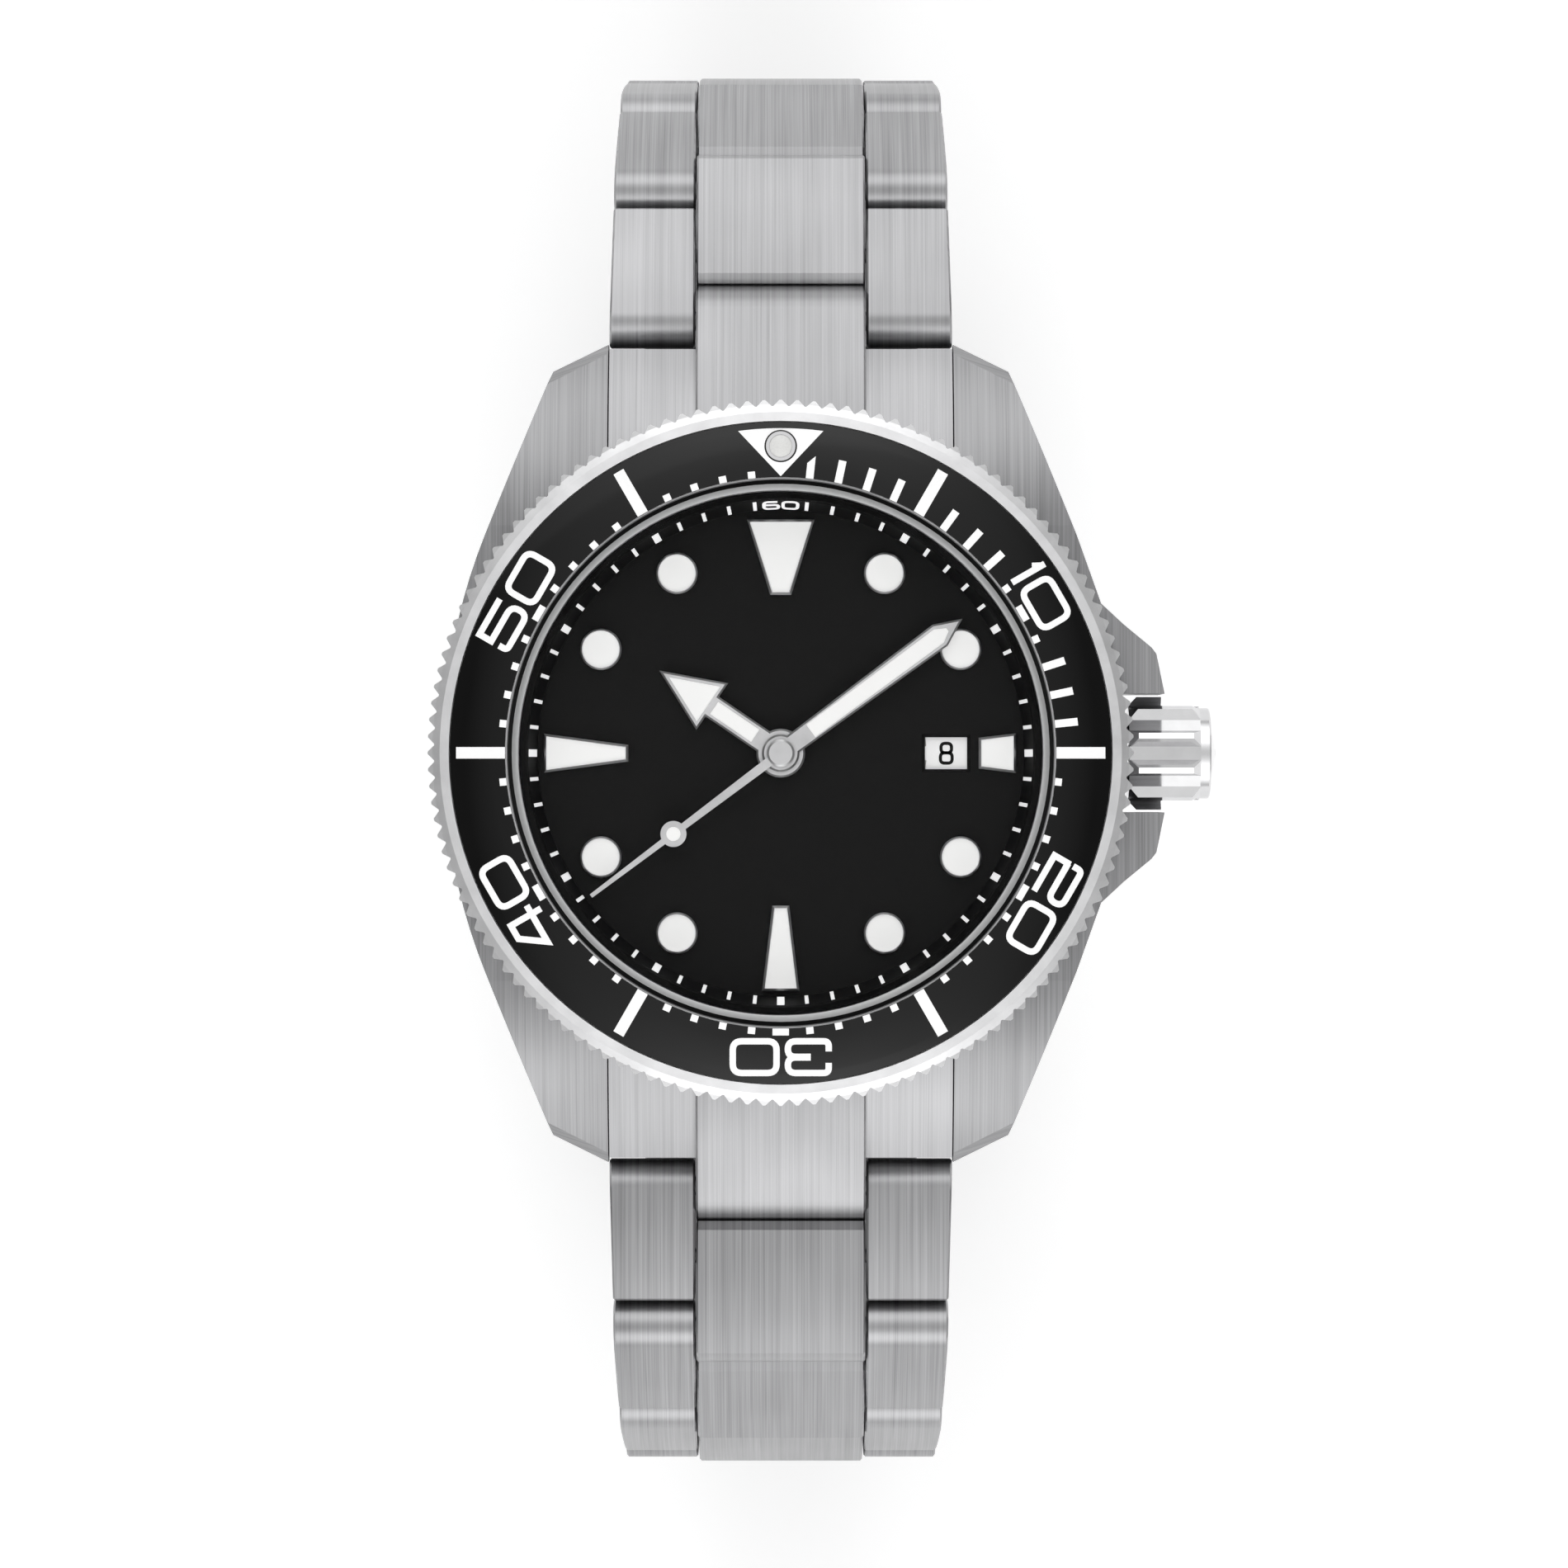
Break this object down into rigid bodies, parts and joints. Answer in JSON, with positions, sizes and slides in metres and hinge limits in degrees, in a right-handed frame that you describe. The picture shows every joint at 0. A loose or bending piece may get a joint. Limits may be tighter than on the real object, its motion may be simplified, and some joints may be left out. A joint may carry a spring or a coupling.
{
  "type": "dive watch",
  "caption": "Wristwatch for diving: round steel case with a rotating timing bezel, screw-down crown, date window, luminous hands and markers, and a link bracelet with a folding clasp.",
  "frame": {"origin": "centre of the case back's outer face, which rests on the wrist", "axes": "+Z out of the dial, +Y towards 12 o'clock, +X towards 3 o'clock and the crown; the closed bracelet lies at negative Z"},
  "size_m": [0.0485, 0.0898, 0.0534],
  "materials": {
    "steel": "satin brushed, with polished flanks",
    "polished_steel": "mirror polished",
    "sapphire": "clear, polished edge bevel",
    "black_ceramic": "gloss",
    "black_dial": "matt lacquer",
    "black_rubber": "matt",
    "lume": "powdery luminous filling",
    "date_white": "matt",
    "movement_plate": "rhodium plated, grained",
    "brass": "gilt",
    "spring_steel": "tempered"
  },
  "bodies": {
    "watch_head": {"case_middle": "steel", "case_back": "steel", "crystal": "sapphire", "gaskets": "black_rubber", "crown_tube": "polished_steel", "bezel_click_spring": "spring_steel", "rehaut_ring": "black_dial", "dial": "black_dial", "hour_markers": "polished_steel", "hour_marker_lume": "lume", "movement_ring": "movement_plate", "main_plate": "movement_plate", "bridges": "movement_plate", "casing_screws": "polished_steel", "spring_bars": "polished_steel", "end_links": "steel", "hairspring": "spring_steel"},
    "bezel": {"bezel": "polished_steel", "bezel_insert": "black_ceramic", "bezel_pearl": "lume"},
    "hour_hand": {"hour_hand": "polished_steel", "hour_hand_lume": "lume", "hour_wheel": "brass"},
    "minute_hand": {"minute_hand": "polished_steel", "minute_hand_lume": "lume", "centre_wheel": "brass"},
    "seconds_hand": {"seconds_hand": "polished_steel", "seconds_hand_lume": "lume", "fourth_wheel": "brass"},
    "third_wheel": {"third_wheel": "brass"},
    "escape_wheel": {"escape_wheel": "spring_steel"},
    "minute_wheel": {"minute_wheel": "brass"},
    "mainspring_barrel": {"mainspring_barrel": "brass"},
    "pallet_fork": {"pallet_fork": "spring_steel"},
    "balance_wheel": {"balance_wheel": "brass"},
    "date_disc": {"date_disc": "date_white"},
    "rotor": {"rotor": "movement_plate"},
    "winding_pinion": {"winding_pinion": "spring_steel"},
    "crown": {"crown": "polished_steel", "winding_stem": "polished_steel"},
    "link_12_1": {"link_12_1": "steel"},
    "link_12_2": {"link_12_2": "steel"},
    "link_12_3": {"link_12_3": "steel"},
    "link_12_4": {"link_12_4": "steel"},
    "link_12_5": {"link_12_5": "steel"},
    "link_12_6": {"link_12_6": "steel"},
    "link_12_7": {"link_12_7": "steel"},
    "link_6_1": {"link_6_1": "steel"},
    "link_6_2": {"link_6_2": "steel"},
    "link_6_3": {"link_6_3": "steel"},
    "link_6_4": {"link_6_4": "steel"},
    "link_6_5": {"link_6_5": "steel"},
    "link_6_6": {"link_6_6": "steel"},
    "link_6_7": {"link_6_7": "steel"},
    "clasp_cover": {"clasp_cover": "steel", "clasp_pins": "polished_steel"},
    "clasp_long_blade": {"clasp_long_blade": "steel"},
    "clasp_short_blade": {"clasp_short_blade": "steel"},
    "clasp_pusher_left": {"clasp_pusher_left": "polished_steel"},
    "clasp_pusher_right": {"clasp_pusher_right": "polished_steel"}
  },
  "joints": [
    {"name": "bezel_turn", "type": "hinge", "parent": "watch_head", "child": "bezel", "pos_m": [0, 0, 0.011], "axis": [0, 0, 1], "continuous": true},
    {"name": "minute_turn", "type": "hinge", "parent": "watch_head", "child": "minute_hand", "pos_m": [0, 0, 0.007], "axis": [0, 0, -1], "continuous": true},
    {"name": "hour_turn", "type": "hinge", "parent": "watch_head", "child": "hour_hand", "pos_m": [0, 0, 0.007], "axis": [0, 0, -1], "continuous": true},
    {"name": "seconds_turn", "type": "hinge", "parent": "watch_head", "child": "seconds_hand", "pos_m": [0, 0, 0.007], "axis": [0, 0, -1], "continuous": true},
    {"name": "third_wheel_turn", "type": "hinge", "parent": "watch_head", "child": "third_wheel", "pos_m": [-0.00395, -0.00144, 0.004], "axis": [0, 0, -1], "continuous": true},
    {"name": "escape_wheel_turn", "type": "hinge", "parent": "watch_head", "child": "escape_wheel", "pos_m": [0.00263, -0.00314, 0.004], "axis": [0, 0, -1], "continuous": true},
    {"name": "minute_wheel_turn", "type": "hinge", "parent": "watch_head", "child": "minute_wheel", "pos_m": [0.0017, 0.0017, 0.006], "axis": [0, 0, -1], "continuous": true},
    {"name": "barrel_turn", "type": "hinge", "parent": "watch_head", "child": "mainspring_barrel", "pos_m": [0, 0.00575, 0.004], "axis": [0, 0, -1], "continuous": true},
    {"name": "pallet_rock", "type": "hinge", "parent": "watch_head", "child": "pallet_fork", "pos_m": [0.00414, -0.00494, 0.0042], "axis": [0, 0, 1], "range_deg": [-5, 5]},
    {"name": "balance_swing", "type": "hinge", "parent": "watch_head", "child": "balance_wheel", "pos_m": [0.00601, -0.00716, 0.0036], "axis": [0, 0, 1], "range_deg": [-270, 270], "stiffness_Nm_per_rad": 0.0000002},
    {"name": "date_turn", "type": "hinge", "parent": "watch_head", "child": "date_disc", "pos_m": [0, 0, 0.007], "axis": [0, 0, 1], "continuous": true},
    {"name": "rotor_turn", "type": "hinge", "parent": "watch_head", "child": "rotor", "pos_m": [0, 0, 0.002], "axis": [0, 0, 1], "continuous": true},
    {"name": "crown_turn", "type": "hinge", "parent": "watch_head", "child": "winding_pinion", "pos_m": [0.0109, 0, 0.0052], "axis": [1, 0, 0], "continuous": true},
    {"name": "crown_pull", "type": "slide", "parent": "winding_pinion", "child": "crown", "axis": [1, 0, 0], "range_m": [0, 0.0025]},
    {"name": "link_12_1_bend", "type": "hinge", "parent": "watch_head", "child": "link_12_1", "pos_m": [0, 0.0269, 0.0037], "axis": [1, 0, 0], "range_deg": [0, 18]},
    {"name": "link_12_2_bend", "type": "hinge", "parent": "link_12_1", "child": "link_12_2", "pos_m": [0, 0.03527, 0.00098], "axis": [1, 0, 0], "range_deg": [0, 36]},
    {"name": "link_12_3_bend", "type": "hinge", "parent": "link_12_2", "child": "link_12_3", "pos_m": [0, 0.04044, -0.00614], "axis": [1, 0, 0], "range_deg": [0, 25]},
    {"name": "link_12_4_bend", "type": "hinge", "parent": "link_12_3", "child": "link_12_4", "pos_m": [0, 0.04212, -0.01478], "axis": [1, 0, 0], "range_deg": [0, 26]},
    {"name": "link_12_5_bend", "type": "hinge", "parent": "link_12_4", "child": "link_12_5", "pos_m": [0, 0.03984, -0.02328], "axis": [1, 0, 0], "range_deg": [0, 23]},
    {"name": "link_12_6_bend", "type": "hinge", "parent": "link_12_5", "child": "link_12_6", "pos_m": [0, 0.03443, -0.03021], "axis": [1, 0, 0], "range_deg": [0, 21]},
    {"name": "link_12_7_bend", "type": "hinge", "parent": "link_12_6", "child": "link_12_7", "pos_m": [0, 0.02688, -0.03474], "axis": [1, 0, 0], "range_deg": [0, 18]},
    {"name": "link_6_1_bend", "type": "hinge", "parent": "watch_head", "child": "link_6_1", "pos_m": [0, -0.0269, 0.0037], "axis": [-1, 0, 0], "range_deg": [0, 4]},
    {"name": "link_6_2_bend", "type": "hinge", "parent": "link_6_1", "child": "link_6_2", "pos_m": [0, -0.03568, 0.00309], "axis": [-1, 0, 0], "range_deg": [0, 48]},
    {"name": "link_6_3_bend", "type": "hinge", "parent": "link_6_2", "child": "link_6_3", "pos_m": [0, -0.0411, -0.00385], "axis": [-1, 0, 0], "range_deg": [0, 21]},
    {"name": "link_6_4_bend", "type": "hinge", "parent": "link_6_3", "child": "link_6_4", "pos_m": [0, -0.04367, -0.01226], "axis": [-1, 0, 0], "range_deg": [0, 26]},
    {"name": "link_6_5_bend", "type": "hinge", "parent": "link_6_4", "child": "link_6_5", "pos_m": [0, -0.04229, -0.02096], "axis": [-1, 0, 0], "range_deg": [0, 25]},
    {"name": "link_6_6_bend", "type": "hinge", "parent": "link_6_5", "child": "link_6_6", "pos_m": [0, -0.03737, -0.02825], "axis": [-1, 0, 0], "range_deg": [0, 24]},
    {"name": "link_6_7_bend", "type": "hinge", "parent": "link_6_6", "child": "link_6_7", "pos_m": [0, -0.02991, -0.03291], "axis": [-1, 0, 0], "range_deg": [0, 18]},
    {"name": "clasp_cover_swing", "type": "hinge", "parent": "link_6_7", "child": "clasp_cover", "pos_m": [0, -0.02137, -0.03504], "axis": [-1, 0, 0], "range_deg": [0, 11.57]},
    {"name": "clasp_long_blade_swing", "type": "hinge", "parent": "clasp_cover", "child": "clasp_long_blade", "pos_m": [0, 0.01508, -0.03739], "axis": [-1, 0, 0], "range_deg": [0, 28]},
    {"name": "clasp_short_blade_swing", "type": "hinge", "parent": "clasp_long_blade", "child": "clasp_short_blade", "pos_m": [0, -0.01439, -0.03564], "axis": [1, 0, 0], "range_deg": [0, 56]},
    {"name": "clasp_pusher_left_press", "type": "slide", "parent": "clasp_cover", "child": "clasp_pusher_left", "axis": [1, 0, 0], "range_m": [0, 0.0005], "stiffness_N_per_m": 1200},
    {"name": "clasp_pusher_right_press", "type": "slide", "parent": "clasp_cover", "child": "clasp_pusher_right", "axis": [-1, 0, 0], "range_m": [0, 0.0005], "stiffness_N_per_m": 1200}
  ],
  "couplings": [
    {"joint": "hour_turn", "follows": "minute_turn", "ratio": 0.083333},
    {"joint": "minute_wheel_turn", "follows": "minute_turn", "ratio": -0.33333},
    {"joint": "third_wheel_turn", "follows": "minute_turn", "ratio": -7.5},
    {"joint": "seconds_turn", "follows": "minute_turn", "ratio": 60},
    {"joint": "escape_wheel_turn", "follows": "minute_turn", "ratio": -720},
    {"joint": "barrel_turn", "follows": "minute_turn", "ratio": -0.15},
    {"joint": "clasp_short_blade_swing", "follows": "clasp_long_blade_swing", "ratio": 2}
  ]
}
